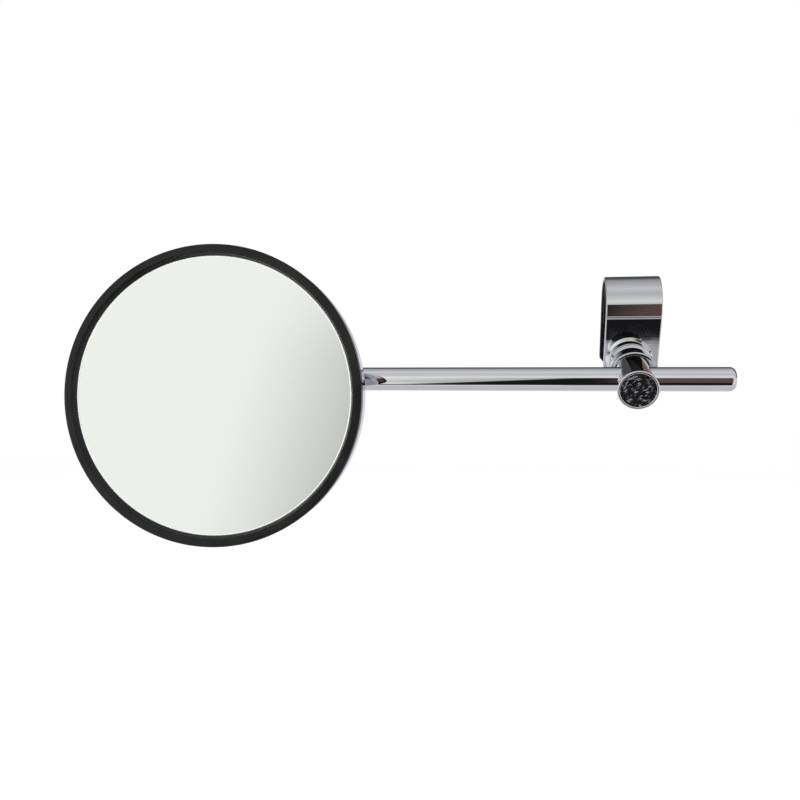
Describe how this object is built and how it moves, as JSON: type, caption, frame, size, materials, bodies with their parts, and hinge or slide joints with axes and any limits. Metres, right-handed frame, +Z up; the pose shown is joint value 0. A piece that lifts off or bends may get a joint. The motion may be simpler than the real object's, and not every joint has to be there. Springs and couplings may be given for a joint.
{
  "type": "bike mirror",
  "caption": "Round bicycle mirror on a straight chrome arm with a handlebar clamp; head pans and tilts, arm slides and swings.",
  "frame": {"origin": "centre of the handlebar bore, at the middle of the clamp band's width", "axes": "+X along the handlebar towards the free end of the arm, +Z up, -Y towards the rider"},
  "size_m": [0.2558, 0.1087, 0.1154],
  "materials": {
    "chrome": "bright chrome plate on steel",
    "cast_chrome": "chrome plate on a forging, the end face left rough",
    "zinc": "zinc-plated steel",
    "black_steel": "black oxide steel",
    "rubber": "moulded black rubber",
    "mirror": "silvered glass, slightly green",
    "foam": "closed-cell foam",
    "black_plastic": "moulded plastic"
  },
  "bodies": {
    "clamp": {"clamp_band": "chrome", "band_liner": "rubber", "base_spacer": "chrome", "middle_bush": "chrome", "rear_washer": "zinc"},
    "post": {"eyebolt": "cast_chrome", "saddle_cup": "chrome", "rear_lock_washer": "zinc", "rear_nut": "zinc"},
    "arm": {"rod": "chrome"},
    "knuckle": {"knuckle_block": "chrome", "knuckle_grub_screw": "black_steel"},
    "head": {"bezel_ring": "rubber", "mirror_glass": "mirror", "foam_pad": "foam", "backing_plate": "black_plastic", "head_shell": "chrome", "shell_bracket": "chrome", "bracket_rivets": "zinc", "pan_screw": "zinc", "pan_nut": "zinc", "pan_washers": "black_plastic"}
  },
  "joints": [
    {"name": "post_swivel", "type": "hinge", "parent": "clamp", "child": "post", "pos_m": [-0.0028, -0.03998, -0.0325], "axis": [0, -0.9205, -0.3907], "range_deg": [-180, 180]},
    {"name": "arm_slide", "type": "slide", "parent": "post", "child": "arm", "axis": [1, 0, 0], "range_m": [-0.028, 0.08]},
    {"name": "head_twist", "type": "hinge", "parent": "arm", "child": "knuckle", "pos_m": [-0.166, -0.03998, -0.0325], "axis": [1, 0, 0], "range_deg": [-90, 90]},
    {"name": "head_pan", "type": "hinge", "parent": "knuckle", "child": "head", "pos_m": [-0.166, -0.03998, -0.0325], "axis": [0, 0, 1], "range_deg": [-40, 5]}
  ]
}
